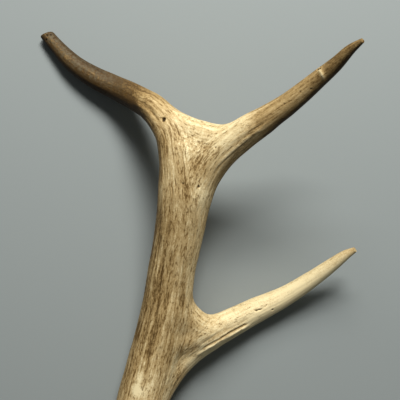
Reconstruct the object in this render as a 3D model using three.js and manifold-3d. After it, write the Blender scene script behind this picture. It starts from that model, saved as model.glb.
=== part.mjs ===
// A shed deer antler, lying on its side on a flat surface, in millimetres with +Z up.
//
// The antler is one grown bone. Its beam rises from the burr along +Y and carries a brow tine just
// above the burr, a middle tine half way up and two crown tines at the top. It rests on the burr, on
// the belly of the middle tine and on the tip of the rear crown tine, while the other tines rise
// clear of the surface. For handling it is divided at its main forks by saw cuts: the body of
// each fork stays with the piece below it.

import * as THREE from 'three';
import { LoftGeometry } from 'three/addons/geometries/LoftGeometry.js';
import { mergeVertices } from 'three/addons/utils/BufferGeometryUtils.js';
import Module from 'manifold-3d';

const wasm = await Module();
wasm.setup();

// ---- Driving dimensions ------------------------------------------------------------------------

// Each limb is a row of stations [x, y, z, radius] along its middle line.
const BEAM = [
  [-53.6, -196, 26.5, 18],
  [-54.7, -178.5, 27, 18.2],
  [-54.9, -154, 26.5, 17.9],
  [-51.7, -124.2, 25, 17.6],
  [-45, -90.3, 22.5, 17.6],
  [-37.7, -56.7, 21, 18],
  [-29.1, -24.2, 21.5, 17.5],
  [-21.3, 7.9, 25, 17],
  [-16, 38, 31, 16.4],
  [-11.2, 65.8, 38, 16.6],
  [-7.6, 92, 45, 16.2],
  [-4.5, 115.8, 49, 13.5],
];
const BROW_TINE = [
  [-54.7, -176.5, 27, 11],
  [-44.7, -164.7, 27.5, 11.4],
  [-30.2, -151.6, 30, 9.4],
  [-12.6, -137, 34.5, 7.9],
  [2.9, -118.7, 40.5, 6.5],
  [14.7, -98, 47.5, 4.9],
  [22.4, -77.4, 54.5, 3.3],
  [26.1, -63.5, 58.5, 1.7],
];
const MIDDLE_TINE = [
  [-33.5, -67.7, 22, 8.7],
  [-24.6, -49.6, 18, 10.1],
  [-11.4, -31.6, 15, 10.3],
  [5.3, -16.4, 12.6, 10.3],
  [23.8, -5.1, 10.4, 10.3],
  [44.2, 5.1, 9, 9.2],
  [64.5, 15.2, 11.2, 7.5],
  [82.7, 27.7, 16.8, 6],
  [97.8, 39.7, 23.2, 4.6],
  [106.1, 46.6, 27.4, 3.4],
  [111.9, 50.3, 30.5, 1.9],
];
const REAR_CROWN_TINE = [
  [-15.3, 65.8, 38, 11.2],
  [-14.2, 90, 44, 11.6],
  [-13.5, 111.9, 47, 11.6],
  [-16.6, 130, 46, 11.2],
  [-25.5, 145.1, 38, 10.2],
  [-39.4, 157.1, 23.5, 8.4],
  [-56.4, 167, 12, 7.3],
  [-73.6, 175.5, 9, 6.8],
  [-88.9, 185.4, 7.2, 6.1],
  [-101.4, 197.4, 5.6, 5.2],
  [-109.1, 206.5, 4.2, 4.7],
];
const FRONT_CROWN_TINE = [
  [-6.8, 49.4, 35, 9.7],
  [-3.7, 65.8, 38.5, 11],
  [-0.6, 81, 43, 11],
  [5.9, 99, 48, 11.2],
  [16.5, 115.3, 54, 11.3],
  [31.2, 128.1, 61, 10.3],
  [46.6, 137.9, 69, 8.6],
  [62.2, 148.4, 79, 7.1],
  [75.9, 159.4, 90, 5.9],
  [87.4, 169, 102, 4.4],
  [94.1, 175.7, 111, 3.1],
  [99.6, 179.4, 118, 1.6],
];

// The bone fills the angle of each fork with a smooth web and a thick middle behind it.
const CROWN_WEB = [
  [-29.8, 148.5, 38.5, 6.1],
  [-10.1, 136.8, 47, 8.3],
  [6.9, 128.5, 51, 9.1],
  [19.6, 127.4, 54.5, 8.5],
  [32.7, 130.2, 59.5, 7.3],
  [44.9, 136.8, 66, 5.8],
];
const CROWN_MIDDLE = [
  [-5.6, 92, 45, 14],
  [-0.6, 111.9, 48.5, 13.5],
  [4.9, 125.8, 50.5, 9.9],
];
const MIDDLE_FORK_WEB = [
  [-12.8, 21.2, 26.2, 6.2],
  [-6.4, 7.8, 21, 7.1],
  [5.5, -4.2, 15.5, 7.2],
  [24.8, -3.7, 12.5, 6.5],
];
const MIDDLE_FORK_MIDDLE = [
  [-17.3, -12.4, 19.5, 11.4],
  [-4.9, -9.8, 16.5, 10.9],
  [6.5, -10.1, 14, 9.4],
];
const BROW_FORK_WEB = [
  [-45, -129.9, 26, 6.6],
  [-39.9, -140.4, 27.5, 7.5],
  [-29.7, -145.8, 30, 7],
  [-15.6, -138, 34, 5.5],
];
const BROW_FORK_MIDDLE = [
  [-50.8, -150, 27, 11],
  [-38.7, -150.8, 28.5, 9.5],
  [-29.7, -147.6, 30, 8],
];

// The burr is a knobbly ring around the foot of the beam, closed by the domed seal under it.
// Its profile is a row of stations [distance along the beam axis, radius], from the seal upward.
const BURR_CENTRE = new THREE.Vector3(-53.6, -196, 26.5);
const BURR_AXIS = new THREE.Vector3(-0.05, 1, 0.03).normalize();
const BURR_PROFILE = [
  [-13.5, 4.0],
  [-12.0, 11.0],
  [-9.0, 16.0],
  [-5.0, 19.5],
  [-3.0, 24.0],
  [0.5, 27.4],
  [5.0, 27.0],
  [8.5, 22.5],
  [13.0, 17.0],
];
const BURR_KNOBS = 13;
const BURR_KNOB_HEIGHT = 0.9;

// A saw cut is [x, y, z] of its middle, the direction of the limb there, and its square size.
const SAW_KERF = 0.3;
const SAW_CUTS = [
  { at: [-50.6, -117.4, 24.5], along: [0.18, 0.98, -0.07], size: 44 },
  { at: [-18.6, -142.3, 32.8], along: [0.76, 0.62, 0.2], size: 30 },
  { at: [-17.7, 27.8, 28.7], along: [0.16, 0.97, 0.21], size: 46 },
  { at: [17.7, -8.5, 11], along: [0.87, 0.49, -0.1], size: 34 },
  { at: [-28.7, 148.6, 34.7], along: [-0.56, 0.55, -0.62], size: 30 },
  { at: [34.5, 130.4, 62.7], along: [0.77, 0.51, 0.38], size: 34 },
];

// Each piece is known by a point of its middle line.
const PIECES = {
  burr_base: { core: BEAM[1], color: 0xb39a72 },
  brow_tine: { core: BROW_TINE[4], color: 0xc9b48c },
  lower_beam: { core: BEAM[4], color: 0xb89c70 },
  middle_tine: { core: MIDDLE_TINE[6], color: 0xd8c7a0 },
  upper_beam: { core: BEAM[9], color: 0xbba47a },
  rear_crown_tine: { core: REAR_CROWN_TINE[6], color: 0x7d6446 },
  front_crown_tine: { core: FRONT_CROWN_TINE[6], color: 0x9a7e57 },
};
const ROUGHNESS = 0.6;

// Facets: corners in one ring and the spacing of the rings along a limb.
const RING_CORNERS = 16;
const RING_SPACING = 8;
const SURFACE_BLOCK = 600;
const MERGE_DISTANCE = 1e-4;

// ---- Solids -------------------------------------------------------------------------------------

// Merges the shared vertices of a closed geometry and hands it to the boolean library.
function solidOf(geometry) {
  const corners = new THREE.BufferGeometry();
  corners.setAttribute('position', geometry.attributes.position);
  corners.setIndex(geometry.index);
  const merged = mergeVertices(corners, MERGE_DISTANCE);
  const mesh = new wasm.Mesh({
    numProp: 3,
    vertProperties: new Float32Array(merged.attributes.position.array),
    triVerts: new Uint32Array(merged.index.array),
  });
  return new wasm.Manifold(mesh);
}

function geometryOf(solid) {
  const mesh = solid.getMesh();
  const geometry = new THREE.BufferGeometry();
  geometry.setAttribute('position', new THREE.BufferAttribute(mesh.vertProperties, 3));
  geometry.setIndex(new THREE.BufferAttribute(mesh.triVerts, 1));
  geometry.computeVertexNormals();
  return geometry;
}

// A ring of points around centre, square to the axis, in the plane of right and up.
function ring(centre, right, up, radiusAt) {
  const points = [];
  for (let corner = 0; corner < RING_CORNERS; corner += 1) {
    const angle = (2 * Math.PI * corner) / RING_CORNERS;
    const radius = radiusAt(angle);
    const point = centre.clone();
    point.addScaledVector(right, radius * Math.cos(angle));
    point.addScaledVector(up, radius * Math.sin(angle));
    points.push(point);
  }
  return points;
}

// A limb is a loft of round rings along the smooth curve through its stations.
function limb(stations) {
  const centres = stations.map(([x, y, z]) => new THREE.Vector3(x, y, z));
  const radii = stations.map((station) => station[3]);
  const curve = new THREE.CatmullRomCurve3(centres, false, 'centripetal');
  const steps = Math.round(curve.getLength() / RING_SPACING);
  const sections = [];
  for (let step = 0; step <= steps; step += 1) {
    const along = step / steps;
    const axis = curve.getTangent(along);
    const right = new THREE.Vector3(0, 0, 1).cross(axis).normalize();
    const up = axis.clone().cross(right);
    const radius = radiusAlong(radii, along);
    sections.push(ring(curve.getPoint(along), right, up, () => radius));
  }
  return solidOf(new LoftGeometry(sections, { capStart: true, capEnd: true }));
}

// The radius between two stations changes in a straight line from one to the next.
function radiusAlong(radii, along) {
  const place = along * (radii.length - 1);
  const before = Math.min(Math.floor(place), radii.length - 2);
  return THREE.MathUtils.lerp(radii[before], radii[before + 1], place - before);
}

// The burr and the seal: rings of the profile whose rim swells and sinks around the beam.
function burr() {
  const right = new THREE.Vector3(0, 0, 1).cross(BURR_AXIS).normalize();
  const up = BURR_AXIS.clone().cross(right);
  const sections = BURR_PROFILE.map(([along, radius]) => {
    const centre = BURR_CENTRE.clone().addScaledVector(BURR_AXIS, along);
    const knob = (angle) => radius + BURR_KNOB_HEIGHT * Math.cos(BURR_KNOBS * angle);
    return ring(centre, right, up, knob);
  });
  return solidOf(new LoftGeometry(sections, { capStart: true, capEnd: true }));
}

// A thin plate across the limb, as wide as the saw blade cuts.
function sawCut({ at, along, size }) {
  const plate = new THREE.BoxGeometry(size, size, SAW_KERF);
  const turn = new THREE.Quaternion();
  turn.setFromUnitVectors(new THREE.Vector3(0, 0, 1), new THREE.Vector3(...along).normalize());
  plate.applyQuaternion(turn);
  plate.translate(...at);
  return solidOf(plate);
}

// Everything below the surface that the antler lies on.
function restingSurface() {
  const block = new THREE.BoxGeometry(SURFACE_BLOCK, SURFACE_BLOCK, SURFACE_BLOCK);
  block.translate(0, 0, -SURFACE_BLOCK / 2);
  return solidOf(block);
}

function wholeAntler() {
  const limbs = [
    BEAM, BROW_TINE, MIDDLE_TINE, REAR_CROWN_TINE, FRONT_CROWN_TINE,
    CROWN_WEB, CROWN_MIDDLE, MIDDLE_FORK_WEB, MIDDLE_FORK_MIDDLE, BROW_FORK_WEB, BROW_FORK_MIDDLE,
  ];
  const joined = limbs.map(limb).reduce((all, next) => all.add(next), burr());
  return joined.subtract(restingSurface());
}

// The distance from a station of the middle line to the nearest vertex of a solid.
function distanceTo(solid, station) {
  const core = new THREE.Vector3(station[0], station[1], station[2]);
  const positions = geometryOf(solid).attributes.position;
  const vertex = new THREE.Vector3();
  let nearest = Infinity;
  for (let index = 0; index < positions.count; index += 1) {
    vertex.fromBufferAttribute(positions, index);
    nearest = Math.min(nearest, vertex.distanceTo(core));
  }
  return nearest;
}

function nearestPiece(solids, station) {
  const distances = solids.map((solid) => distanceTo(solid, station));
  return solids[distances.indexOf(Math.min(...distances))];
}

// ---- The antler ---------------------------------------------------------------------------------

const antler = new THREE.Group();
antler.name = 'deer_antler';

const sawn = SAW_CUTS.map(sawCut).reduce((rest, cut) => rest.subtract(cut), wholeAntler());
const sawnPieces = sawn.decompose();

for (const [name, { core, color }] of Object.entries(PIECES)) {
  const material = new THREE.MeshStandardMaterial({ color, roughness: ROUGHNESS, metalness: 0 });
  const mesh = new THREE.Mesh(geometryOf(nearestPiece(sawnPieces, core)), material);
  mesh.name = name;
  antler.add(mesh);
}

export default antler;
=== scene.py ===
"""A shed deer antler on a pale floor, seen from straight above."""

import bpy
import numpy as np
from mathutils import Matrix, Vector


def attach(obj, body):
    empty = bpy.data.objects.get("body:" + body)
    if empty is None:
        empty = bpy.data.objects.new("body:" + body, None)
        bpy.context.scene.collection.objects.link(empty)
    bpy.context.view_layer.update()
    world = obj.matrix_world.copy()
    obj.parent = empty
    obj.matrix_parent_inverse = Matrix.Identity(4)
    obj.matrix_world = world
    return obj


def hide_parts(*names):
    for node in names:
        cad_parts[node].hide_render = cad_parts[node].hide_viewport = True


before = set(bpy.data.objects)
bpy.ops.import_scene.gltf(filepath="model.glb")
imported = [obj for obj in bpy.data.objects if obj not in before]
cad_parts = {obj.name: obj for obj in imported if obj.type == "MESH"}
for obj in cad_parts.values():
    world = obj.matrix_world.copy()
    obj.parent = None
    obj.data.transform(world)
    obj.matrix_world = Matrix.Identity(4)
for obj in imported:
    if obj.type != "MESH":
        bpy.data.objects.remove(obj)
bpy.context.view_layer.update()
MM = 0.001

# ---- The beam ------------------------------------------------------------------------------------
# The beam is the antler's trunk, one rod of dense bone that grew out of the skull. It is thickest at
# the burr, a ring of knobs around its foot, and ends there in the seal, the low rough dome that was
# left when the antler was shed.

# Every limb is a row of stations along its middle line: x, y, z and radius in mm, and how brown the
# bone is stained there, from 0, bare cream, to 1, dark brown.
BEAM = [
    (-53.6, -196, 26.5, 18, 0.7),
    (-54.7, -178.5, 27, 18, 0.7),
    (-54.9, -154, 26.5, 17.5, 0.66),
    (-51.7, -124.2, 25, 17.4, 0.6),
    (-45, -90.3, 22.5, 17.4, 0.5),
    (-37.7, -56.7, 21, 17.5, 0.4),
    (-29.1, -24.2, 21.5, 17.1, 0.44),
    (-21.3, 7.9, 25, 16.7, 0.56),
    (-16, 38, 31, 16.4, 0.54),
    (-11.2, 65.8, 38, 16, 0.52),
    (-7.6, 92, 45, 14.8, 0.46),
    (-4.5, 115.8, 49, 11.9, 0.2),
]
# Gutters and light ridges on the upper side: depth in mm (a ridge is negative), half width in mm,
# change of stain, and the route (x, y).
BEAM_CREASES = [
    (0.35, 1.5, 0.13, [(-21.7, 42.9), (-23.9, 23.5), (-26.8, 2.5), (-30.4, -14.9), (-33.2, -25.4)]),
    (0.3, 1.2, 0.14, [(-31.1, 19.5), (-34, 2), (-36.1, -11.9), (-38.9, -22.4), (-42.4, -34.3)]),
    (0.25, 1.2, 0.12, [(-5.4, 47.7), (-6.8, 33.8), (-7.6, 16.1), (-9.1, 3.2)]),
    (0.25, 1.2, 0.12, [(-15.5, 51.3), (-17, 37.5), (-19.1, 23.6), (-22, 8.3)]),
    (-0.3, 1.5, -0.16, [(-14.3, 23.6), (-17.2, 9.6), (-20.7, -4.4), (-24.1, -14.9), (-29, -26.6)]),
    (-0.25, 1.3, -0.12, [(-10.8, 51.3), (-12.2, 37.5), (-13.7, 23.6)]),
]
# Patches on the upper side that wear has bleached or sap has darkened: change of stain, x, y and radius in
# mm. The first five run into one another as the pale streak on the lower beam. The eleventh and the twelfth
# are painted light: paler spots on the right and left flanks of the upper beam.
BEAM_PATCHES = [
    (-0.40, -37.5, -38.0, 3.4),
    (-0.62, -39.5, -47.0, 5.0),
    (-0.45, -43.5, -58.0, 5.5),
    (-0.35, -46.0, -70.0, 6.5),
    (-0.25, -50.0, -84.0, 8.0),
    (0.20, -41.5, -7.5, 7.0),
    (0.12, -19.0, 16.0, 8.0),
    (-0.15, -6.0, 45.0, 14.0),
    (-0.15, -3.0, 66.0, 14.0),
    (0.18, -11.3, 66.0, 8.0),
    (-0.34, 7.0, 85.0, 9.5),
    (-0.24, -24.0, 88.0, 9.0),
    (0.14, -7.0, 92.0, 7.0),
]
# Pits: x, y, radius and depth in mm.
BEAM_PITS = [(2.7, 93.7, 0.7, 0.8), (-8, 95.7, 0.6, 0.8)]
# Flat cuts that divide the beam into pieces: a point of the cut in mm, the direction of the limb
# there, and the piece on the near side.
LOWER_BEAM_CUT = (-50.6, -117.4, 24.5), (0.18, 0.98, -0.07), "burr_base"
UPPER_BEAM_CUT = (-17.7, 27.8, 28.7), (0.16, 0.97, 0.21), "lower_beam"

BURR_CENTRE = np.array((-53.6, -196, 26.5)) * MM
BURR_AXIS = np.array((-0.05, 1, 0.03)) / np.linalg.norm((-0.05, 1, 0.03))
BURR_HEIGHT = 2.5 * MM
BURR_RADIUS = 20.0 * MM
BURR_THICKNESS = 6.6 * MM
SEAL_DEPTH = 13.5 * MM
# The seal's rise per square of the distance from its middle, both in metres.
SEAL_CURVE = 24.0
SEAL_REACH = 28 * MM

# ---- The brow tine -------------------------------------------------------------------------------
# The brow tine is the lowest, a slender spike of bone that leaves the beam right above the burr. A
# web closes the angle of its fork, and more bone fills the fork's middle.

BROW_TINE = [
    (-54.7, -176.5, 27, 10, 0.7),
    (-44.7, -164.7, 27.5, 10.8, 0.62),
    (-30.2, -151.6, 30, 9.2, 0.5),
    (-12.6, -137, 34.5, 7.8, 0.36),
    (2.9, -118.7, 40.5, 6.4, 0.26),
    (14.7, -98, 47.5, 4.9, 0.18),
    (22.4, -77.4, 54.5, 3.3, 0.12),
    (26.1, -63.5, 58.5, 1.7, 0.2),
]
BROW_FORK_WEB = [
    (-45, -129.9, 26, 5, 0.6),
    (-39.9, -140.4, 27.5, 6.6, 0.55),
    (-29.7, -145.8, 30, 6.2, 0.45),
    (-15.6, -138, 34, 4.6, 0.36),
]
BROW_FORK_MIDDLE = [
    (-50.8, -150, 27, 9, 0.62),
    (-38.7, -150.8, 28.5, 8.4, 0.56),
    (-29.7, -147.6, 30, 7, 0.48),
]
BROW_TINE_CUT = (-18.6, -142.3, 32.8), (0.76, 0.62, 0.2), "burr_base"

# ---- The middle tine -----------------------------------------------------------------------------
# The middle tine leaves the beam half way up, a spike of the same bone. It is worn smooth and
# bleached to cream, and a crevice runs along its root.

MIDDLE_TINE = [
    (-33.5, -67.7, 22, 6.7, 0.42),
    (-24.6, -49.6, 18, 8.9, 0.44),
    (-11.4, -31.6, 15, 9.5, 0.34),
    (5.3, -16.4, 12.6, 9.9, 0.2),
    (23.8, -5.1, 10.4, 10.1, 0.05),
    (44.2, 5.1, 9, 9.2, -0.03),
    (64.5, 15.2, 11.2, 7.5, -0.04),
    (82.7, 27.7, 16.8, 6, -0.02),
    (97.8, 39.7, 23.2, 4.6, 0.1),
    (106.1, 46.6, 27.4, 3.4, 0.2),
    (111.9, 50.3, 30.5, 1.9, 0.3),
]
MIDDLE_FORK_WEB = [
    (-12.8, 21.2, 26.2, 4.8, 0.35),
    (-6.4, 7.8, 21, 6, 0.34),
    (5.5, -4.2, 15.5, 6.2, 0.14),
    (24.8, -3.7, 12.5, 5, 0),
]
MIDDLE_FORK_MIDDLE = [
    (-17.3, -14.4, 20.5, 11.2, 0.5),
    (-4.9, -12.8, 17.8, 11.2, 0.42),
    (8, -11.6, 14.6, 9.6, 0.24),
]
MIDDLE_FORK_SHOULDER = [
    (-16, 8, 26, 12.5, 0.32),
    (-7, 0, 22, 10.5, 0.26),
    (4, -7, 17, 8.5, 0.2),
]
MIDDLE_TINE_CREASES = [
    (0.5, 2.0, 0.09, [(2, -17.2), (5.5, -15.2), (17.1, -9.8), (29.6, -3.6), (41, 0.9)]),
    (0.9, 0.8, 0.45, [(3.4, -22.7), (8.6, -18.6), (16.2, -14.6), (25.8, -9.3), (39, -2.6)]),
    (-0.6, 1.3, -0.08, [(-0.8, -26.2), (7.4, -21.1), (16.9, -15.7), (27.5, -10.2), (41, -3.7)]),
]
# Painted light: two paler spots on the tine's root, where it slopes down to its lower edge: change of stain,
# x, y and radius in mm.
MIDDLE_TINE_PAINTED_LIGHT = [(-0.34, 8.5, -20.5, 7.0), (-0.28, -2.5, -31.0, 6.5)]
# The first five lie end to end, as a ragged dash.
MIDDLE_TINE_PITS = [
    (42.8, 6.2, 0.5, 0.8),
    (43.9, 6.0, 0.75, 1.1),
    (45.1, 6.5, 0.55, 0.9),
    (46.4, 6.6, 0.65, 1.0),
    (47.6, 7.2, 0.45, 0.7),
    (50.0, 8.9, 0.45, 0.6),
    (50.9, 9.9, 0.5, 0.8),
    (55.3, 6.3, 0.6, 0.8),
    (32.5, 10.0, 0.5, 0.6),
]
MIDDLE_TINE_CUT = (17.7, -8.5, 11.0), (0.87, 0.49, -0.1), "lower_beam"
# The way that the tine's upper edge faces.
MIDDLE_TINE_TOP = (-0.45, 0.89, 0)

# ---- The crown tines -----------------------------------------------------------------------------
# The beam ends in two tines with a broad web between their roots. The rear one is dark with bark and
# sap, bends down and has lost its point. The front one rises, and has a fresh pale nick.

REAR_CROWN_TINE = [
    (-15.3, 65.8, 38, 8.6, 0.55),
    (-14.2, 90, 44, 10, 0.46),
    (-13.5, 111.9, 47, 10.9, 0.34),
    (-16.6, 130, 46, 10.8, 0.26),
    (-25.5, 145.1, 38, 10.1, 0.56),
    (-39.9, 156.3, 23.5, 9.2, 0.9),
    (-57.2, 165.9, 12, 8.6, 0.97),
    (-74.2, 174.6, 9, 7.8, 0.98),
    (-89.3, 184.9, 7.4, 6.6, 0.94),
    (-101.4, 197.4, 5.6, 5.2, 0.92),
    (-109.1, 206.5, 4.2, 4.7, 0.9),
]
FRONT_CROWN_TINE = [
    (-6.8, 49.4, 35, 7.1, 0.55),
    (-3.7, 65.8, 38.5, 8.7, 0.5),
    (-0.6, 81, 43, 9.6, 0.48),
    (5.9, 99, 48, 10.5, 0.4),
    (16.5, 115.3, 54, 10.9, 0.2),
    (31.2, 128.1, 61, 10.1, 0.14),
    (46.6, 137.9, 69, 8.6, 0.56),
    (62.2, 148.4, 79, 7.1, 0.5),
    (75.9, 159.4, 90, 5.9, 0.6),
    (87.4, 169, 102, 4.4, 0.74),
    (94.1, 175.7, 111, 3.1, 0.74),
    (99.6, 179.4, 118, 1.6, 0.6),
]
CROWN_WEB = [
    (-29.8, 148.5, 38.5, 4.7, 0.22),
    (-10.1, 136.8, 47, 7.3, 0.20),
    (6.9, 128.5, 51, 8.5, 0.18),
    (19.6, 127.4, 54.5, 7.7, 0.16),
    (32.7, 130.2, 59.5, 5.9, 0.1),
    (44.9, 136.8, 66, 4.4, 0.3),
]
CROWN_MIDDLE = [
    (-5.6, 92, 45, 11, 0.4),
    (-0.6, 111.9, 48.5, 11.8, 0.15),
    (4.9, 125.8, 50.5, 8.5, 0.08),
]
# The last row is the nick, a raised scar of bare bone.
CROWN_CREASES = [
    (0.7, 2.3, 0.05, [(-23.2, 136.7), (-30.4, 145.3), (-36.2, 152), (-42.8, 157.7), (-48.8, 160.3)]),
    (-0.5, 1.3, -0.05, [(-21.7, 131.2), (-26.8, 138.7), (-33.3, 146.3), (-41.5, 152.2)]),
    (0.4, 0.9, 0.15, [(14.9, 110.6), (21, 116.5), (27.8, 122.4), (35.6, 128.2), (45.7, 135.9)]),
    (0.3, 0.8, 0.15, [(10.9, 100.6), (18, 109.1), (26.9, 116.9), (36.2, 124.8), (42.9, 129.9)]),
    (-0.3, 1.2, -0.05, [(15.4, 107.1), (24.4, 116.2), (34.2, 124.5), (44.8, 132.3)]),
    (0.4, 0.6, 0.50, [(-13.4, 135), (-11, 130.3), (-8.4, 125.6)]),
    (-0.5, 1.1, -0.62, [(75.2, 169.2), (77.7, 163.6), (79.0, 161.3), (80.6, 157.3)]),
]
CROWN_PATCHES = [
    (0.18, 1.0, 109.0, 7.0),
    (0.22, 8.0, 119.0, 6.0),
    (0.26, -15.5, 124.0, 8.5),
    (-0.20, 34.6, 135.8, 6.0),
    (0.16, -20.5, 136.5, 5.0),
]
# The big pit beside the fork, specks, two pits at the nick, and the open pores of the broken tip.
CROWN_PITS = [
    (-20.8, 139.5, 1.15, 1.8),
    (-21.2, 138.2, 0.9, 1.2),
    (13.4, 119.5, 0.6, 0.7),
    (-1.4, 127.2, 0.45, 0.5),
    (66.1, 152.7, 0.6, 0.5),
    (65.3, 151.9, 0.4, 0.4),
    (56.7, 145.9, 0.55, 0.5),
    (72.5, 154.1, 0.5, 0.4),
    (76.4, 165.7, 0.6, 0.9),
    (77.3, 165.9, 0.5, 0.7),
    (-107.7, 204.5, 0.8, 0.9),
    (-104.8, 204.9, 0.7, 0.8),
    (-108.1, 201.2, 0.6, 0.7),
    (-105.5, 199.2, 0.5, 0.6),
    (-102.5, 202.4, 0.5, 0.5),
]
REAR_CROWN_TINE_CUT = (-28.7, 148.6, 34.7), (-0.56, 0.55, -0.62), "upper_beam"
FRONT_CROWN_TINE_CUT = (34.5, 130.4, 62.7), (0.77, 0.51, 0.38), "upper_beam"
# The ways that the tines' upper and lower edges face.
REAR_TINE_TOP = (0.35, 0.93, 0)
REAR_TINE_UNDERSIDE = (-0.6, -0.8, 0)
FRONT_TINE_TOP = (-0.5, 0.85, 0)
FRONT_TINE_UNDERSIDE = (0.5, -0.85, 0)
# The break leans this much off square to the tine, sideways and upwards.
BREAK_LEAN = 0.35, 0.1
BREAK_REACH = 20 * MM

# ---- The skin of the bone ------------------------------------------------------------------------
# The beam, the tines and the bone that fills their forks are one grown piece under a single skin.
# Each is a rod around its middle line, and the rods melt into one another where they meet.

STEP_ALONG = 1.5 * MM
BLEND = 2.4 * MM
END_BLEND = 0.5 * MM
VOXEL = 0.55 * MM
SETTLING_ROUNDS = 5
TUBE_SIDES = 24
BURR_STEPS = 96
CHUNK = 40000
# Farther than anything on the antler, in metres.
FAR = 1.0


def middle_line(stations):
    """The limb's middle line as evenly spaced places. Between two stations every column follows the
    cubic that leaves and arrives at the slope between the neighbouring stations."""
    table = np.array(stations, float)
    table[:, :4] *= MM
    knots = np.concatenate([[0], np.cumsum(np.linalg.norm(np.diff(table[:, :3], axis=0), axis=1))])
    slopes = np.gradient(table, knots, axis=0)
    run = np.linspace(0, knots[-1], 1 + round(knots[-1] / STEP_ALONG))
    before = np.clip(np.searchsorted(knots, run) - 1, 0, len(knots) - 2)
    span = (knots[before + 1] - knots[before])[:, None]
    x = (run - knots[before])[:, None] / span
    place = (
        (2 * x**3 - 3 * x**2 + 1) * table[before]
        + (x**3 - 2 * x**2 + x) * span * slopes[before]
        + (3 * x**2 - 2 * x**3) * table[before + 1]
        + (x**3 - x**2) * span * slopes[before + 1]
    )
    centre = place[:, :3]
    along = np.gradient(centre, run, axis=0)
    along /= np.linalg.norm(along, axis=1)[:, None]
    side = np.cross(along, (0, 0, 1))
    side /= np.linalg.norm(side, axis=1)[:, None]
    return {
        "centre": centre,
        "radius": place[:, 3],
        "stain": place[:, 4],
        "run": run,
        "along": along,
        "side": side,
        "up": np.cross(side, along),
    }


limbs = {
    "beam": middle_line(BEAM),
    "brow_tine": middle_line(BROW_TINE),
    "middle_tine": middle_line(MIDDLE_TINE),
    "rear_crown_tine": middle_line(REAR_CROWN_TINE),
    "front_crown_tine": middle_line(FRONT_CROWN_TINE),
    "crown_web": middle_line(CROWN_WEB),
    "crown_middle": middle_line(CROWN_MIDDLE),
    "middle_fork_web": middle_line(MIDDLE_FORK_WEB),
    "middle_fork_middle": middle_line(MIDDLE_FORK_MIDDLE),
    "middle_fork_shoulder": middle_line(MIDDLE_FORK_SHOULDER),
    "brow_fork_web": middle_line(BROW_FORK_WEB),
    "brow_fork_middle": middle_line(BROW_FORK_MIDDLE),
}
MAIN_LIMBS = ["beam", "brow_tine", "middle_tine", "rear_crown_tine", "front_crown_tine"]


def reach(points, line):
    """How far each point lies outside a limb, the direction away from it, and the nearest place on
    its middle line: the nearest sample first, then a slide along the line's direction there."""
    centre, radius, along, run = line["centre"], line["radius"], line["along"], line["run"]
    nearest = np.empty(len(points), int)
    for start in range(0, len(points), CHUNK):
        part = points[start:start + CHUNK]
        squares = (centre**2).sum(1) - 2 * part @ centre.T
        nearest[start:start + CHUNK] = squares.argmin(1)
    slide = ((points - centre[nearest]) * along[nearest]).sum(1)
    low = np.where(nearest == 0, 0, -STEP_ALONG)
    high = np.where(nearest == len(run) - 1, 0, STEP_ALONG)
    slide = np.clip(slide, low, high)
    taper = np.gradient(radius, run)[nearest]
    foot = centre[nearest] + along[nearest] * slide[:, None]
    away = points - foot
    length = np.linalg.norm(away, axis=1) + 1e-9
    return length - radius[nearest] - taper * slide, away / length[:, None], nearest


def from_burr(points):
    """How far each point lies beyond the burr's middle along its axis, and the way across the axis
    to the point, with its length left in."""
    from_centre = points - BURR_CENTRE
    rise = from_centre @ BURR_AXIS
    return rise, from_centre - rise[:, None] * BURR_AXIS


def burr_ring(points):
    """How far each point lies outside the ring around the foot of the beam, and the way out."""
    rise, outward = from_burr(points)
    distance = np.linalg.norm(outward, axis=1) + 1e-9
    outward /= distance[:, None]
    away = (distance - BURR_RADIUS)[:, None] * outward + (rise - BURR_HEIGHT)[:, None] * BURR_AXIS
    length = np.linalg.norm(away, axis=1) + 1e-9
    return length - BURR_THICKNESS, away / length[:, None]


def seal_dome(points):
    """Height over the low dome that closes the foot: a flat paraboloid across the burr's axis that
    levels out beyond the burr."""
    rise, outward = from_burr(points)
    outward *= np.minimum(1, SEAL_REACH / (np.linalg.norm(outward, axis=1) + 1e-9))[:, None]
    dome = -SEAL_DEPTH + SEAL_CURVE * (outward**2).sum(1)
    way = -BURR_AXIS + 2 * SEAL_CURVE * outward
    length = np.linalg.norm(way, axis=1)
    return (dome - rise) / length, way / length[:, None]


def broken_tip(points):
    """Height over the slanted break that ends the rear crown tine. Away from the tip it is far
    below nothing, so that it cuts nothing there."""
    line = limbs["rear_crown_tine"]
    tip = line["centre"][-1]
    sideways, upwards = BREAK_LEAN
    way = line["along"][-1] + sideways * line["side"][-1] + upwards * line["up"][-1]
    way /= np.linalg.norm(way)
    near = np.linalg.norm(points - tip, axis=1) < BREAK_REACH
    return np.where(near, (points - tip) @ way, -FAR), np.broadcast_to(way, points.shape)


def shares(heights, blend):
    """How much each limb counts at each point: e to the power of minus its height over the blend
    length, scaled so that the shares add up to 1."""
    pull = np.exp((heights.min(0) - heights) / blend)
    return pull / pull.sum(0)


def skin(points):
    """The height of each point over the skin, the way out, and the height over each limb. The skin
    is the soft minimum of those heights, cut by the seal's dome and the broken tip."""
    reaches = [reach(points, line)[:2] for line in limbs.values()] + [burr_ring(points)]
    heights = np.stack([height for height, _ in reaches])
    share = shares(heights, BLEND)
    height = heights.min(0) + BLEND * np.log(share.max(0))
    outward = sum(part[:, None] * way for part, (_, way) in zip(share, reaches))
    for cut_height, cut_way in (seal_dome(points), broken_tip(points)):
        larger = np.maximum(height, cut_height)
        grip = np.exp((height - larger) / END_BLEND)
        cut_grip = np.exp((cut_height - larger) / END_BLEND)
        total = grip + cut_grip
        height = larger + END_BLEND * np.log(total)
        outward = (grip[:, None] * outward + cut_grip[:, None] * cut_way) / total[:, None]
    return height, outward / (np.linalg.norm(outward, axis=1)[:, None] + 1e-9), heights


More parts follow.
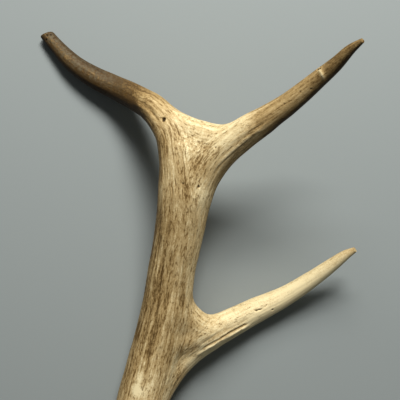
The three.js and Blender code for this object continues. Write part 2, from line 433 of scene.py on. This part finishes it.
def burr_line():
    """The burr's ring as a closed rod, in the same terms as a limb, for the rough block."""
    side = np.cross(BURR_AXIS, (0, 0, 1))
    side /= np.linalg.norm(side)
    up = np.cross(side, BURR_AXIS)
    turn = np.linspace(0, 2 * np.pi, BURR_STEPS + 1)[:, None]
    outward = np.cos(turn) * side + np.sin(turn) * up
    return {
        "centre": BURR_CENTRE + BURR_HEIGHT * BURR_AXIS + BURR_RADIUS * outward,
        "radius": np.full(len(turn), BURR_THICKNESS),
        "run": turn[:, 0],
        "side": outward,
        "up": np.broadcast_to(BURR_AXIS, outward.shape),
    }


def limb_tube(line):
    """Vertices and faces of a limb as a grid: a ring of points around each place of the line."""
    rings = len(line["run"])
    angle = np.linspace(0, 2 * np.pi, TUBE_SIDES, endpoint=False)
    across = line["side"][:, None] * np.cos(angle)[:, None] + line["up"][:, None] * np.sin(angle)[:, None]
    grid = line["centre"][:, None] + line["radius"][:, None, None] * across
    corner = np.arange(rings * TUBE_SIDES).reshape(rings, TUBE_SIDES)
    turned = np.roll(corner, -1, axis=1)
    sides = np.stack([corner[:-1], turned[:-1], turned[1:], corner[1:]], axis=-1).reshape(-1, 4)
    ends = [corner[0][::-1].tolist(), corner[-1].tolist()]
    return grid.reshape(-1, 3), sides.tolist() + ends


def rough_block():
    """All limbs as overlapping rods, fused by a voxel remesh into one closed mesh of even quads."""
    vertices, faces = [], []
    count = 0
    for line in [*limbs.values(), burr_line()]:
        points, polygons = limb_tube(line)
        vertices.append(points)
        faces += [[corner + count for corner in polygon] for polygon in polygons]
        count += len(points)
    mesh = bpy.data.meshes.new("rough_block")
    mesh.from_pydata(np.concatenate(vertices).tolist(), [], faces)
    block = bpy.data.objects.new("rough_block", mesh)
    bpy.context.scene.collection.objects.link(block)
    fuse = block.modifiers.new("fuse", "REMESH")
    fuse.mode = "VOXEL"
    fuse.voxel_size = VOXEL
    graph = bpy.context.evaluated_depsgraph_get()
    fused = block.evaluated_get(graph).to_mesh()
    points = np.empty(len(fused.vertices) * 3)
    fused.vertices.foreach_get("co", points)
    corners = np.empty(len(fused.loops), int)
    fused.loops.foreach_get("vertex_index", corners)
    block.evaluated_get(graph).to_mesh_clear()
    bpy.data.objects.remove(block)
    bpy.data.meshes.remove(mesh)
    return points.reshape(-1, 3), corners.reshape(-1, 4)


points, quads = rough_block()
for _ in range(SETTLING_ROUNDS):
    height, outward, _ = skin(points)
    points -= height[:, None] * outward
_, outward, limb_heights = skin(points)

# ---- The grain -----------------------------------------------------------------------------------
# The bone's fibres run along the limbs. Three charts measure every point across and along a limb:
# one follows the beam into the rear crown tine, one follows the other tines, and one the webs.

GRAIN_BLEND = 5 * MM
GRAIN_RADIUS = 14 * MM
WEB_HANDICAP = 2.5 * MM
# The stem skips the end of the beam and the root of the rear crown tine, which lie side by side.
STEM = BEAM[:10] + REAR_CROWN_TINE[2:]
# The limbs of each chart, and whether their fibres draw together towards the tip.
CHARTS = [
    ([middle_line(STEM)], True),
    ([limbs["front_crown_tine"], limbs["middle_tine"], limbs["brow_tine"]], True),
    ([limbs["crown_web"], limbs["middle_fork_web"], limbs["brow_fork_web"]], False),
]


def chart(points, lines, tapers):
    """Each point's place in the grain of the nearest line: across, up and along it. Where a limb
    tapers, across and up shrink less than the limb, so that the fibres draw together. Each further
    line starts a metre on, so that no two lines show the same pattern."""
    place = np.zeros_like(points)
    height = np.full(len(points), FAR)
    for number, line in enumerate(lines):
        gap, _, nearest = reach(points, line)
        offset = points - line["centre"][nearest]
        spread = np.sqrt(GRAIN_RADIUS / line["radius"][nearest]) if tapers else np.ones(len(points))
        own = np.stack([
            (offset * line["side"][nearest]).sum(1) * spread,
            (offset * line["up"][nearest]).sum(1) * spread,
            line["run"][nearest] + (offset * line["along"][nearest]).sum(1) + number,
        ], axis=1)
        closer = gap < height
        place[closer] = own[closer]
        height = np.minimum(height, gap)
    return place, height


charted = [chart(points, lines, tapers) for lines, tapers in CHARTS]
grain = [place for place, _ in charted]
gaps = np.stack([gap for _, gap in charted])
gaps[-1] += WEB_HANDICAP
grip = np.exp((gaps.min(0) - gaps) / GRAIN_BLEND)
grain_share = (grip / np.linalg.norm(grip, axis=0)).T

# ---- The relief ----------------------------------------------------------------------------------
# Grown bone is never smooth: the limbs are lumpy, shallow gutters run up the beam, beads crowd
# round the foot, and knobs stand on the burr. A few pits, creases and ridges have fixed places.

# Heights are in mm. Rows of noise are height, spacing in mm, and seed.
LUMPS = [(0.45, 30, 1), (0.22, 13, 2)]
KNOBS = [(1.5, 4.6, 50), (0.5, 2.1, 51)]
GRIT = [(0.55, 2.2, 60), (0.25, 1.0, 61)]
NOISE_GAIN = 1.6
GUTTER_DEPTH = 0.34
# How far the noise may stray from 0 inside a gutter.
GUTTER_WIDTH = 0.16
GUTTER_SWELL = 0.16
FLUTE_DEPTH = 0.10
THREAD_DEPTH = 0.05
# Noise along the fibres: size across, size along, and seed.
GUTTER_GRAIN = 4.2 * MM, 75 * MM, 10
FLUTE_GRAIN = 2.0 * MM, 30 * MM, 20
THREAD_GRAIN = 1.0 * MM, 12 * MM, 30
BEAD_HEIGHT = 0.8
BEAD_SPACING = 2.6 * MM
# Noise below the first value is no bead, and above the second a whole one.
BEAD_EDGE = 0.05, 0.55
CREASE_ENDS = 5 * MM
CREASE_RAGGEDNESS = 4.5 * MM
# Measured along the beam from the burr's centre: where the foot's beads fade out, where the burr's
# knobs set in, and where the seal's grit ends.
FOOT_SPAN = 5 * MM, 95 * MM
BURR_EDGE = -8 * MM, -3 * MM
SEAL_EDGE = -9 * MM, -5 * MM
# The radius of a limb that is too slender for gutters, and of one that has them in full.
STOUT_SPAN = 3 * MM, 12 * MM


def bone_noise(place, seed):
    """Smooth hills and hollows about 1 apart, from -1 to 1: every whole-number corner has a random
    slope, and between corners the eight slopes are blended."""
    cell = np.floor(place).astype(np.int64)
    inside = place - cell
    fade = inside**3 * (inside * (inside * 6 - 15) + 10)
    total = np.zeros(len(place))
    for corner in np.ndindex(2, 2, 2):
        at = cell + corner
        key = (at[:, 0] * 73856093 ^ at[:, 1] * 19349663 ^ at[:, 2] * 83492791 ^ seed * 2654435761)
        key = (key ^ (key >> 13)) * 1274126177 & 0xFFFFFFFF
        key = (key ^ (key >> 16)) * 2246822519 & 0xFFFFFFFF
        turn = (key & 0xFFFF) * (2 * np.pi / 0x10000)
        rise = ((key >> 16) & 0xFFFF) * (2 / 0x10000) - 1
        flat = np.sqrt(1 - rise**2)
        slope = np.stack([flat * np.cos(turn), flat * np.sin(turn), rise], axis=1)
        weight = np.prod(np.where(corner, fade, 1 - fade), axis=1)
        total += weight * ((inside - corner) * slope).sum(1)
    return total * NOISE_GAIN


def layers(rows):
    """Noise of several sizes added up: for each row, its height times noise at its spacing."""
    return sum(size * bone_noise(points / (spacing * MM), seed) for size, spacing, seed in rows)


def grain_noise(across, along, seed):
    """Noise drawn out along the fibres, blended between the charts by their shares."""
    scale = 1 / np.array((across, across, along))
    return sum(
        grain_share[:, number] * bone_noise(places * scale, seed + number)
        for number, places in enumerate(grain)
    )


def smooth_step(value, low, high):
    """0 below low and 1 above high, with an easy curve between them."""
    x = np.clip((value - low) / (high - low), 0, 1)
    return x * x * (3 - 2 * x)


def between(low, high, mask):
    """The first value where the mask is 0, the second where it is 1, and even steps between."""
    return low + (high - low) * mask


def line_mask(route, half_width):
    """1 on a route (x, y) of points in mm on the upper side, falling off over the half width and
    towards the route's ends."""
    route = np.array(route) * MM
    best = np.full(len(points), FAR)
    for start, end in zip(route[:-1], route[1:]):
        step = end - start
        share_along = np.clip((points[:, :2] - start) @ step / (step @ step), 0, 1)
        gap = np.linalg.norm(points[:, :2] - start - share_along[:, None] * step, axis=1)
        best = np.minimum(best, gap)
    from_ends = np.minimum(*(np.linalg.norm(points[:, :2] - end, axis=1) for end in (route[0], route[-1])))
    ends = smooth_step(from_ends, 0, CREASE_ENDS)
    return np.exp(-((best / (half_width * MM)) ** 2)) * ends * smooth_step(outward[:, 2], -0.1, 0.3)


def spot_mask(x, y, radius, sharpness):
    """1 in the middle of a round spot on the upper side, and e to the power of minus the distance
    over the radius around it, that ratio being raised to the sharpness first."""
    gap = np.linalg.norm(points[:, :2] - np.array((x, y)) * MM, axis=1) / (radius * MM)
    return np.exp(-(gap**sharpness)) * upper_side


share = shares(limb_heights, BLEND)
from_foot, _ = from_burr(points)
foot = 1 - smooth_step(from_foot, *FOOT_SPAN)
burr_share = share[-1] * smooth_step(from_foot, *BURR_EDGE)
seal = 1 - smooth_step(from_foot, *SEAL_EDGE)
main_share = share[:len(MAIN_LIMBS)]
radii = np.stack([limbs[name]["radius"][reach(points, limbs[name])[2]] for name in MAIN_LIMBS])
girth = (main_share * radii).sum(0) / np.maximum(main_share.sum(0), 1e-6)
stout = smooth_step(girth, *STOUT_SPAN)

waves = grain_noise(*GUTTER_GRAIN)
gutters = -GUTTER_DEPTH * np.exp(-((waves / GUTTER_WIDTH) ** 2)) + GUTTER_SWELL * waves
flutes = FLUTE_DEPTH * grain_noise(*FLUTE_GRAIN)
threads = THREAD_DEPTH * grain_noise(*THREAD_GRAIN)
beads = smooth_step(bone_noise(points / BEAD_SPACING, 40), *BEAD_EDGE)
knobs = layers(KNOBS)

creases = np.zeros(len(points))
crease_stain = np.zeros(len(points))
for depth, width, change, route in CROWN_CREASES + MIDDLE_TINE_CREASES + BEAM_CREASES:
    mask = line_mask(route, width)
    creases += depth * mask
    crease_stain += change * mask
creases *= 0.85 + 0.7 * bone_noise(points / CREASE_RAGGEDNESS, 3)
upper_side = smooth_step(outward[:, 2], 0.0, 0.3)
pits = np.zeros(len(points))
for x, y, radius, depth in CROWN_PITS + BEAM_PITS + MIDDLE_TINE_PITS:
    pits += depth * spot_mask(x, y, radius, 4)

relief = layers(LUMPS) * between(0.35, 1, stout)
relief += (gutters * between(0.55, 1.65, foot) + flutes * between(1, 2, foot)) * stout + threads
relief += BEAD_HEIGHT * beads * foot**2 * (1 - seal) * (1 - burr_share)
relief += knobs * burr_share + layers(GRIT) * seal - creases - pits
points += (relief * MM)[:, None] * outward
points[:, 2] = np.maximum(points[:, 2], 0)

# ---- The stain -----------------------------------------------------------------------------------
# Sap, blood and bark stained the bone once it was grown. Wear and weather bleached parts of it, dirt gathers
# in every recess, and a dull film lies on the upper side of the rear crown tine. Painted light and shade are
# worked into the stain as well: paler and darker sides on the beam and the tines, a few paler spots, and
# painted shade in the recesses and on the crown tines' lower flanks.

STAIN_BLEND = 6 * MM
FILM_SIDE = (0.35, 0.93, 0.2)
# How strongly the fibres show on each limb, where that isn't in full.
FIBRES = {
    "middle_fork_web": 0.6,
    "middle_fork_shoulder": 0.7,
    "brow_tine": 0.7,
    "middle_tine": 0.5,
    "rear_crown_tine": 0.5,
    "front_crown_tine": 0.5,
}
# How much each limb adds to the mottles, and to the short cracks, which worn bone loses.
MOTTLES = {"middle_tine": 0.2, "rear_crown_tine": 0.7, "front_crown_tine": 0.5}
EVERYWHERE_MOTTLED = 0.2
CRACKS = {
    "beam": -0.015,
    "middle_tine": -0.04,
    "rear_crown_tine": -0.07,
    "crown_web": -0.04,
    "crown_middle": 0.05,
    "middle_fork_web": -0.06,
    "middle_fork_middle": -0.06,
    "middle_fork_shoulder": -0.06,
}
SLENDER_CRACKS = -0.08
SLENDER_SPAN = 7 * MM, 10.4 * MM


def facing(way, low, high):
    """0 to 1 as the skin turns towards a direction, between two values of their cosine."""
    return smooth_step(outward @ way, low, high)


def rightwards(low, high):
    """0 to 1 towards the right, between two values of x in mm."""
    return smooth_step(points[:, 0], low * MM, high * MM)


def leftwards(low, high):
    """0 to 1 towards the left, between two values of minus x in mm."""
    return smooth_step(-points[:, 0], low * MM, high * MM)


def by_limb(amounts):
    """A value that each limb has its own amount of, blended between the limbs."""
    return sum(amount * limb_share[name] for name, amount in amounts.items())


limb_share = dict(zip(limbs, shares(limb_heights[:-1], STAIN_BLEND)))
on_beam = limb_share["beam"]
on_middle_tine = limb_share["middle_tine"]
on_rear_tine = limb_share["rear_crown_tine"]
on_front_tine = limb_share["front_crown_tine"]

# Patches of stain, among them painted light on the upper beam's flanks and on the middle tine's root.
patches = np.zeros(len(points))
for change, x, y, radius in BEAM_PATCHES + MIDDLE_TINE_PAINTED_LIGHT + CROWN_PATCHES:
    patches += change * spot_mask(x, y, radius, 2)

stain = sum(
    part * limbs[name]["stain"][reach(points, limbs[name])[2]]
    for name, part in limb_share.items()
)
stain += crease_stain + patches
# Painted light and shade: the beam's right side is painted paler than its left, and more so from the middle
# fork up, and its left side a little darker.
rightward = outward[:, 0]
right_painted_light = between(0.25, 0.42, smooth_step(points[:, 1], -30 * MM, 10 * MM))
stain -= np.where(rightward > 0, right_painted_light, 0.08) * rightward * on_beam
# The middle tine is painted browner along its upper edge and paler along its lower one, as painted light and
# shade. The front crown tine is darker under its lower edge, as painted shade, and browner from its middle
# out along the upper one. The rear crown tine is darkest at its lower edge, as painted shade.
stain += 0.14 * (outward @ MIDDLE_TINE_TOP) * on_middle_tine
stain += 1.2 * np.maximum(outward @ FRONT_TINE_UNDERSIDE - 0.5, 0) * on_front_tine
stain += 0.16 * np.maximum(outward @ FRONT_TINE_TOP, 0) * on_front_tine * rightwards(34, 60)
stain += 0.8 * np.maximum(outward @ REAR_TINE_UNDERSIDE - 0.1, 0) * on_rear_tine

# How far a spot lies sunk in its surroundings, from 0 to 1, and how far it lies on the flanks of the two
# crown tines. Both darken the colour: in grooves, creases, pits and between the knobs partly as dirt and
# partly as painted shade.
dirt_and_painted_shade = np.clip(-gutters / GUTTER_DEPTH * between(0.35, 1, foot) * stout, 0, 1) * 0.6
dirt_and_painted_shade = np.clip(dirt_and_painted_shade + np.clip(creases, 0, 1) * 0.3, 0, 0.55) + np.clip(pits / 0.6, 0, 1)
dirt_and_painted_shade = np.clip(dirt_and_painted_shade + (burr_share * 0.9 + seal * 0.5) * smooth_step(-knobs, -0.1, 1.0), 0, 1)
# Painted shade on the lower flanks of the two crown tines, which face away from the lamps. The second term
# darkens the rear tine's upper side towards its tip.
flank_shade_and_dark_top = 1.1 * facing(REAR_TINE_UNDERSIDE, 0.1, 0.9) * on_rear_tine * leftwards(28, 42)
flank_shade_and_dark_top += 0.9 * facing(REAR_TINE_TOP, 0.2, 0.75) * on_rear_tine * leftwards(50, 70)
front_underside_shade = facing(FRONT_TINE_UNDERSIDE, 0.6, 1.05) * on_front_tine * rightwards(25, 45)
flank_shade_and_dark_top += front_underside_shade * between(1, 0.4, rightwards(66, 80))
dirt_and_painted_shade = np.clip(dirt_and_painted_shade + 0.85 * flank_shade_and_dark_top, 0, 1)
film = facing(FILM_SIDE, -0.65, 0.2) * on_rear_tine * leftwards(36, 76)

# The fibres show most where the bone is half stained, and least on slender tines, which are rubbed
# smooth and keep few of the short cracks.
fibre_share = sum(part * FIBRES.get(name, 1.0) for name, part in limb_share.items())
fibre_share *= between(0.25, 1, smooth_step(stain, 0, 0.45))
fibre_share *= between(1, 0.6, smooth_step(stain, 0.65, 0.9))
mottling = EVERYWHERE_MOTTLED + by_limb(MOTTLES)
cracking = SLENDER_CRACKS * (1 - smooth_step(girth, *SLENDER_SPAN)) + by_limb(CRACKS)
cracking += 0.25 * (np.minimum(patches + 0.4, 0) + np.maximum(patches, 0))

# ---- The bone's finish ---------------------------------------------------------------------------
# Dry antler is cream bone that sap, blood and bark have stained brown. The stain sits in the
# fibres as long streaks and short dark cracks, and wears off the tips and the webs.

CREAM = (0.80, 0.675, 0.395)
STRAW = (0.54, 0.405, 0.20)
TAN = (0.36, 0.243, 0.099)
BROWN = (0.175, 0.108, 0.037)
DARK = (0.066, 0.036, 0.010)
FILM = (0.118, 0.094, 0.052)
CRACK = (0.125, 0.067, 0.015)
# Near black, for dirt and painted shade in the recesses and on the crown tines' shaded flanks.
SHADE_AND_DIRT_BLACK = (0.018, 0.01, 0.004)
# Colours of the bone by its stain, from none to full.
STAIN_STOPS = [(0.0, CREAM), (0.26, STRAW), (0.55, TAN), (0.82, BROWN), (1.0, DARK)]
# Streaks, short cracks and bands: size across and along the fibres in mm, and fineness.
FIBRE_NOISES = [(1.7, 24.0, 3.5), (0.95, 3.4, 1.2), (5.0, 60.0, 2.0)]
SATIN_SHINE = 0.18
GRAIN_DEPTH = 0.35 * MM


def joined(tree, kind, inputs=(), **settings):
    """A node of the given kind, with its settings made and its inputs linked or set."""
    node = tree.nodes.new(kind)
    for name, value in settings.items():
        setattr(node, name, value)
    for name, value in dict(inputs).items():
        if isinstance(value, bpy.types.NodeSocket):
            tree.links.new(value, node.inputs[name])
        else:
            node.inputs[name].default_value = value
    return node


def sum_of(tree, *terms):
    """Adds up terms of the form (socket, factor)."""
    total = 0.0
    for socket, factor in terms:
        part = joined(tree, "ShaderNodeMath", {0: socket, 1: factor, 2: total}, operation="MULTIPLY_ADD")
        total = part.outputs[0]
    return total


def product(tree, first, second):
    """One socket times another."""
    return joined(tree, "ShaderNodeMath", {0: first, 1: second}, operation="MULTIPLY").outputs[0]


def ranged(tree, value, low, high, to_low, to_high):
    """A value stretched so that low becomes to_low and high becomes to_high, and held to those."""
    limits = {"From Min": low, "From Max": high, "To Min": to_low, "To Max": to_high}
    return joined(tree, "ShaderNodeMapRange", {"Value": value, **limits}).outputs[0]


def noise_of(tree, place, size, detail, roughness, distortion=0.0):
    """Noise from 0 to 1 whose hills stand about one size apart."""
    inputs = {"Vector": place, "Scale": 1 / size, "Detail": detail, "Roughness": roughness}
    return joined(tree, "ShaderNodeTexNoise", {**inputs, "Distortion": distortion}).outputs["Fac"]


def centred(tree, noise):
    """Noise moved down to lie about 0."""
    return joined(tree, "ShaderNodeMath", {0: noise, 1: 0.5}, operation="SUBTRACT").outputs[0]


def mesh_values(tree, name):
    """The three values that the mesh holds at each point under a name."""
    held = joined(tree, "ShaderNodeAttribute", attribute_name=name)
    return joined(tree, "ShaderNodeSeparateXYZ", {0: held.outputs["Vector"]}).outputs


def fibre_pattern():
    """Node group: from a place in the grain to streaks (X), short cracks (Y) and bands (Z), each
    about 0 on average. Each is noise squeezed across the fibres and drawn out along them."""
    group = bpy.data.node_groups.new("fibre_pattern", "ShaderNodeTree")
    group.interface.new_socket("Grain", in_out="INPUT", socket_type="NodeSocketVector")
    group.interface.new_socket("Pattern", in_out="OUTPUT", socket_type="NodeSocketVector")
    entry = group.nodes.new("NodeGroupInput").outputs["Grain"]
    channels = []
    for across, along, detail in FIBRE_NOISES:
        scale = (1 / (across * MM), 1 / (across * MM), 1 / (along * MM))
        stretched = joined(group, "ShaderNodeMapping", {"Vector": entry, "Scale": scale})
        channels.append(centred(group, noise_of(group, stretched.outputs[0], 1.0, detail, 0.65)))
    packed = joined(group, "ShaderNodeCombineXYZ", dict(zip("XYZ", channels)))
    group.links.new(packed.outputs[0], group.nodes.new("NodeGroupOutput").inputs["Pattern"])
    return group


def fibre_channels(tree):
    """The streaks, cracks and bands of the three charts, each chart weighed by its share."""
    pattern_group = fibre_pattern()
    total = None
    for name, part in zip(("grain_stem", "grain_branch", "grain_web"), mesh_values(tree, "grain_share")):
        place = joined(tree, "ShaderNodeAttribute", attribute_name=name).outputs["Vector"]
        pattern = joined(tree, "ShaderNodeGroup", {"Grain": place}, node_tree=pattern_group)
        weighed = joined(tree, "ShaderNodeVectorMath", {0: pattern.outputs["Pattern"], "Scale": part},
                         operation="SCALE").outputs[0]
        if total is None:
            total = weighed
        else:
            total = joined(tree, "ShaderNodeVectorMath", {0: total, 1: weighed}, operation="ADD").outputs[0]
    return joined(tree, "ShaderNodeSeparateXYZ", {0: total}).outputs


def antler_bone():
    """The bone's material: the stain picks a colour from cream to dark brown, after the fibres' streaks have
    shifted it, and cracks, film, dirt and painted shade in the recesses and on the crown tines' shaded
    flanks darken it."""
    material = bpy.data.materials.new("antler_bone")
    material.use_nodes = True
    tree = material.node_tree
    shader = tree.nodes["Principled BSDF"]
    streak, crack, band = fibre_channels(tree)
    stained, dirt_and_shade, film = mesh_values(tree, "marks")
    strength, cracking, mottling = mesh_values(tree, "fibres")
    spot = joined(tree, "ShaderNodeTexCoord").outputs["Object"]
    blotch = centred(tree, noise_of(tree, spot, 16 * MM, 3.0, 0.55))
    speck = centred(tree, noise_of(tree, spot, 0.9 * MM, 2.0, 0.6))
    mottle = centred(tree, noise_of(tree, spot, 2.2 * MM, 3.0, 0.7, 0.6))
    cluster = centred(tree, noise_of(tree, spot, 8 * MM, 2.0, 0.6))
    scrap = noise_of(tree, spot, 2.2 * MM, 4.0, 0.7)

    streaks = product(tree, sum_of(tree, (streak, 1.7), (crack, 0.8), (band, 1.1)), strength)
    mottles = product(tree, mottle, mottling)
    # The recesses and shaded flanks darken the tone too, as dirt and painted shade.
    tone = sum_of(tree, (stained, 1.0), (streaks, 1.0), (blotch, 0.35), (mottles, 0.7), (speck, 0.5),
                  (dirt_and_shade, 0.3))
    ramp = joined(tree, "ShaderNodeValToRGB", {"Fac": tone})
    stops = ramp.color_ramp.elements
    stops[0].color = (*STAIN_STOPS[0][1], 1)
    stops[1].color = (*STAIN_STOPS[-1][1], 1)
    for position, colour in STAIN_STOPS[1:-1]:
        stops.new(position).color = (*colour, 1)

    dashes = sum_of(tree, (crack, 1.0), (streak, 0.5), (stained, 0.10), (band, 0.2), (cracking, 1.0),
                    (cluster, 0.45))
    cracked = ranged(tree, dashes, 0.10, 0.20, 0.0, 0.62)
    covered = product(tree, film, ranged(tree, scrap, 0.42, 0.62, 0.0, 0.85))
    # Where they are darkest, the colour turns near black, as painted shade and dirt.
    shaded = ranged(tree, dirt_and_shade, 0.6, 1.1, 0.0, 1.0)
    surface = ramp.outputs["Color"]
    for amount, shade in ((cracked, CRACK), (covered, FILM), (shaded, SHADE_AND_DIRT_BLACK)):
        blend = {"Factor": amount, "A": surface, "B": (*shade, 1)}
        mix = joined(tree, "ShaderNodeMix", blend, data_type="RGBA")
        surface = mix.outputs["Result"]
    tree.links.new(surface, shader.inputs["Base Color"])
    shader.inputs["Specular IOR Level"].default_value = SATIN_SHINE

    tree.links.new(ranged(tree, streak, -0.25, 0.25, 0.55, 0.72), shader.inputs["Roughness"])
    grain_height = sum_of(tree, (streak, -0.55), (cracked, -0.5), (speck, 0.35))
    bump = joined(tree, "ShaderNodeBump", {"Height": grain_height, "Distance": GRAIN_DEPTH, "Strength": 0.8})
    tree.links.new(bump.outputs["Normal"], shader.inputs["Normal"])
    return material


# ---- The seven pieces ----------------------------------------------------------------------------
# The antler is divided at its main forks by flat cuts. Both sides of a cut share its outline, and
# each side is closed by a flat face, so the pieces meet exactly.

CUTS = {
    "lower_beam": LOWER_BEAM_CUT,
    "upper_beam": UPPER_BEAM_CUT,
    "brow_tine": BROW_TINE_CUT,
    "middle_tine": MIDDLE_TINE_CUT,
    "rear_crown_tine": REAR_CROWN_TINE_CUT,
    "front_crown_tine": FRONT_CROWN_TINE_CUT,
}
PIECES = ["burr_base", *CUTS]
TINES = PIECES[3:]


def cut_direction(piece):
    """The direction of the limb at a piece's cut, made one long."""
    way = np.array(CUTS[piece][1])
    return way / np.linalg.norm(way)


def beyond(places, piece):
    """How far each place lies beyond a piece's cut, measured along the limb."""
    return (places - np.array(CUTS[piece][0]) * MM) @ cut_direction(piece)


def piece_of(places):
    """The number of the piece that each place belongs to: a tine holds what is nearest to it and
    beyond its cut, and the beam's three pieces share the rest."""
    number = (beyond(places, "lower_beam") > 0).astype(int) + (beyond(places, "upper_beam") > 0)
    closest = np.stack([reach(places, limbs[name])[0] for name in MAIN_LIMBS]).argmin(0)
    for tine in TINES:
        number[(closest == MAIN_LIMBS.index(tine)) & (beyond(places, tine) > 0)] = PIECES.index(tine)
    return number


def cut_edges(quads, owner):
    """The edges between quads of two pieces, as rows of (corner, corner, owner here, owner there),
    one row for each side."""
    starts = quads.reshape(-1)
    ends = np.roll(quads, -1, axis=1).reshape(-1)
    owners = np.repeat(owner, 4)
    count = quads.max() + 1
    here = starts * count + ends
    order = np.argsort(here)
    there = order[np.searchsorted(here, ends * count + starts, sorter=order)]
    differs = owners != owners[there]
    return np.stack([starts, ends, owners, owners[there]], axis=1)[differs]


def vertex_normals(points, quads):
    """The mean direction of the quads around each vertex, by their area."""
    across = np.cross(points[quads[:, 2]] - points[quads[:, 0]], points[quads[:, 3]] - points[quads[:, 1]])
    total = np.zeros_like(points)
    for corner in range(4):
        for axis in range(3):
            total[:, axis] += np.bincount(quads[:, corner], across[:, axis], len(points))
    return total / np.linalg.norm(total, axis=1)[:, None]


bone = antler_bone()
owner = piece_of(points[quads].mean(1))
borders = cut_edges(quads, owner)
for piece, (_, _, near_side) in CUTS.items():
    at_cut = (borders[:, 2] == PIECES.index(piece)) & (borders[:, 3] == PIECES.index(near_side))
    on_cut = np.unique(borders[at_cut][:, :2])
    points[on_cut] -= beyond(points[on_cut], piece)[:, None] * cut_direction(piece)
normals = vertex_normals(points, quads)
attributes = {
    "grain_stem": grain[0],
    "grain_branch": grain[1],
    "grain_web": grain[2],
    "grain_share": grain_share,
    "marks": np.stack([stain, dirt_and_painted_shade, film], axis=1),
    "fibres": np.stack([fibre_share, cracking, mottling], axis=1),
}


def antler_piece(name):
    """One closed piece: its share of the skin, and a fan of triangles from the middle of each cut
    to the cut's outline. The skin keeps the whole antler's normals, so no seam shows."""
    number = PIECES.index(name)
    own_quads = quads[owner == number]
    used, flat = np.unique(own_quads, return_inverse=True)
    own_quads = flat.reshape(-1, 4)
    own_points = points[used]
    faces = own_quads.tolist()
    loop_normals = normals[used][own_quads.reshape(-1)]
    held = {key: values[used] for key, values in attributes.items()}
    for other in np.unique(borders[borders[:, 2] == number][:, 3]):
        rim = borders[(borders[:, 2] == number) & (borders[:, 3] == other)][:, :2]
        rim = np.searchsorted(used, rim)
        middle = own_points[np.unique(rim)].mean(0)
        own_points = np.concatenate([own_points, middle[None]])
        centre = len(own_points) - 1
        fan = np.stack([rim[:, 1], rim[:, 0], np.full(len(rim), centre)], axis=1)
        faces += fan.tolist()
        sides = np.cross(own_points[fan[:, 1]] - own_points[fan[:, 0]],
                         own_points[fan[:, 2]] - own_points[fan[:, 0]])
        flat_normal = sides.sum(0) / np.linalg.norm(sides.sum(0))
        loop_normals = np.concatenate([loop_normals, np.tile(flat_normal, (len(fan) * 3, 1))])
        held = {key: np.concatenate([values, values[rim[:1, 0]]]) for key, values in held.items()}
    mesh = bpy.data.meshes.new(name)
    mesh.from_pydata(own_points.tolist(), [], faces)
    for key, values in held.items():
        layer = mesh.attributes.new(key, "FLOAT_VECTOR", "POINT")
        layer.data.foreach_set("vector", values.astype(np.float32).reshape(-1))
    mesh.shade_smooth()
    mesh.normals_split_custom_set(loop_normals.tolist())
    mesh.materials.append(bone)
    piece = bpy.data.objects.new(name + "_bone", mesh)
    bpy.context.scene.collection.objects.link(piece)
    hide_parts(name)
    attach(piece, "root")


for name in PIECES:
    antler_piece(name)

# ---- The studio ----------------------------------------------------------------------------------
# A pale floor, two soft lamps beyond the crown, a faint even light from the room, and a camera that
# looks straight down.

FLOOR_SIZE = 6.0
FLOOR_COLOUR = (0.262, 0.292, 0.288)
FLOOR_ROUGHNESS = 0.8
# Each lamp: its name, its place and width in metres, and its power in watts.
LAMPS = [
    ("key_light", (0.20, 0.93, 0.90), 0.36, 16.5),
    ("low_light", (-0.10, 1.22, 0.85), 0.44, 11.5),
]
LAMP_COLOUR = (1.0, 0.98, 0.95)
LAMP_AIM = (0, 0.05, 0.03)
ROOM_COLOUR = (0.96, 1.0, 1.0)
ROOM_STRENGTH = 0.085
CAMERA_PLACE = (3.4 * MM, 85 * MM, 600 * MM)
# The view is this wide at this distance from the camera.
FRAME_WIDTH = 280 * MM
FRAME_DISTANCE = 570 * MM
SENSOR = 36.0


def floor():
    """A flat square sheet, large enough to fill every view."""
    half = FLOOR_SIZE / 2
    mesh = bpy.data.meshes.new("floor")
    corners = [(-half, -half, 0), (half, -half, 0), (half, half, 0), (-half, half, 0)]
    mesh.from_pydata(corners, [], [(0, 1, 2, 3)])
    material = bpy.data.materials.new("floor_paint")
    material.use_nodes = True
    shader = material.node_tree.nodes["Principled BSDF"]
    shader.inputs["Base Color"].default_value = (*FLOOR_COLOUR, 1)
    shader.inputs["Roughness"].default_value = FLOOR_ROUGHNESS
    mesh.materials.append(material)
    sheet = bpy.data.objects.new("floor", mesh)
    bpy.context.scene.collection.objects.link(sheet)


def soft_light(name, place, size, power):
    """A square area light at a place, turned to the middle of the antler."""
    data = bpy.data.lights.new(name, "AREA")
    data.shape = "SQUARE"
    data.size = size
    data.energy = power
    data.color = LAMP_COLOUR
    lamp = bpy.data.objects.new(name, data)
    bpy.context.scene.collection.objects.link(lamp)
    lamp.location = place
    lamp.rotation_euler = (Vector(LAMP_AIM) - Vector(place)).to_track_quat("-Z", "Y").to_euler()


floor()
for name, place, size, power in LAMPS:
    soft_light(name, place, size, power)
world = bpy.data.worlds.new("room")
world.use_nodes = True
world.node_tree.nodes["Background"].inputs["Color"].default_value = (*ROOM_COLOUR, 1)
world.node_tree.nodes["Background"].inputs["Strength"].default_value = ROOM_STRENGTH
bpy.context.scene.world = world
bpy.context.scene.view_settings.view_transform = "Standard"

lens = bpy.data.cameras.new("camera")
lens.sensor_width = SENSOR
lens.lens = SENSOR * FRAME_DISTANCE / FRAME_WIDTH
camera = bpy.data.objects.new("camera", lens)
camera.location = CAMERA_PLACE
bpy.context.scene.collection.objects.link(camera)
bpy.context.scene.camera = camera
